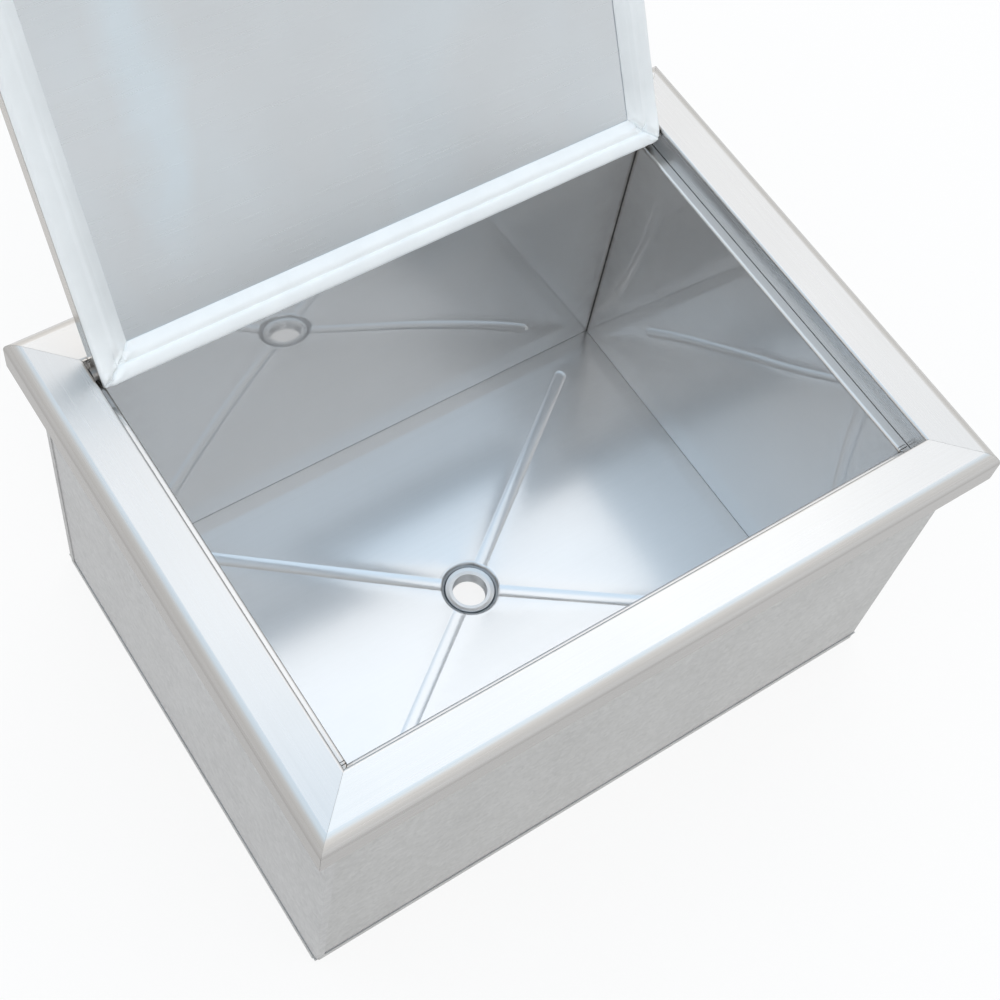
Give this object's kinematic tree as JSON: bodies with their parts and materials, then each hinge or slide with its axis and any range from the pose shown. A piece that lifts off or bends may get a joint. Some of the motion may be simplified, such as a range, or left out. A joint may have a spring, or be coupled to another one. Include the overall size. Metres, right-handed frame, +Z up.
{
  "type": "drop-in ice bin",
  "caption": "Insulated drop-in ice bin with a wide rolled rim, a floor drain and a gasketed lid hinged on side pins, leaning back open.",
  "frame": {"origin": "on the axis of the drain, level with the underside of the base", "axes": "+X to the right along the front, +Y to the back where the lid hinges, +Z up; the drain points down"},
  "size_m": [0.61, 0.5952, 0.6488],
  "materials": {
    "rim_steel": "satin brushed",
    "basin_steel": "bright polished",
    "galvanised_sheet": "galvanised, mottled",
    "insulation": "rigid foam",
    "seal_rubber": "matt",
    "gasket_vinyl": "soft white vinyl",
    "lid_steel": "satin brushed",
    "handle_steel": "satin",
    "drain_steel": "turned",
    "fastener_steel": "machined"
  },
  "bodies": {
    "bin": {"rim_front": "rim_steel", "rim_right": "rim_steel", "rim_back": "rim_steel", "rim_left": "rim_steel", "basin_front": "basin_steel", "basin_right": "basin_steel", "basin_back": "basin_steel", "basin_left": "basin_steel", "basin_floor": "basin_steel", "casing_front": "galvanised_sheet", "casing_right": "galvanised_sheet", "casing_back": "galvanised_sheet", "casing_left": "galvanised_sheet", "base_pan": "galvanised_sheet", "foam_fill": "insulation", "drain_fitting": "drain_steel", "drain_seal": "seal_rubber", "drain_locknut": "drain_steel", "hinge_block_left": "fastener_steel", "hinge_block_right": "fastener_steel"},
    "lid": {"lid_pan": "lid_steel", "lid_liner": "lid_steel", "lid_foam": "insulation", "gasket_front": "gasket_vinyl", "gasket_right": "gasket_vinyl", "gasket_back": "gasket_vinyl", "gasket_left": "gasket_vinyl", "lid_block_left": "fastener_steel", "lid_block_right": "fastener_steel", "pivot_pin_left": "fastener_steel", "pivot_pin_right": "fastener_steel", "pivot_washer_left": "fastener_steel", "pivot_washer_right": "fastener_steel", "bow_handle": "handle_steel", "handle_screws": "fastener_steel", "handle_washers": "fastener_steel"}
  },
  "joints": [
    {"name": "lid_hinge", "type": "hinge", "parent": "bin", "child": "lid", "pos_m": [0, 0.17516, 0.3265], "axis": [1, 0, 0], "range_deg": [0, 118.44]}
  ]
}
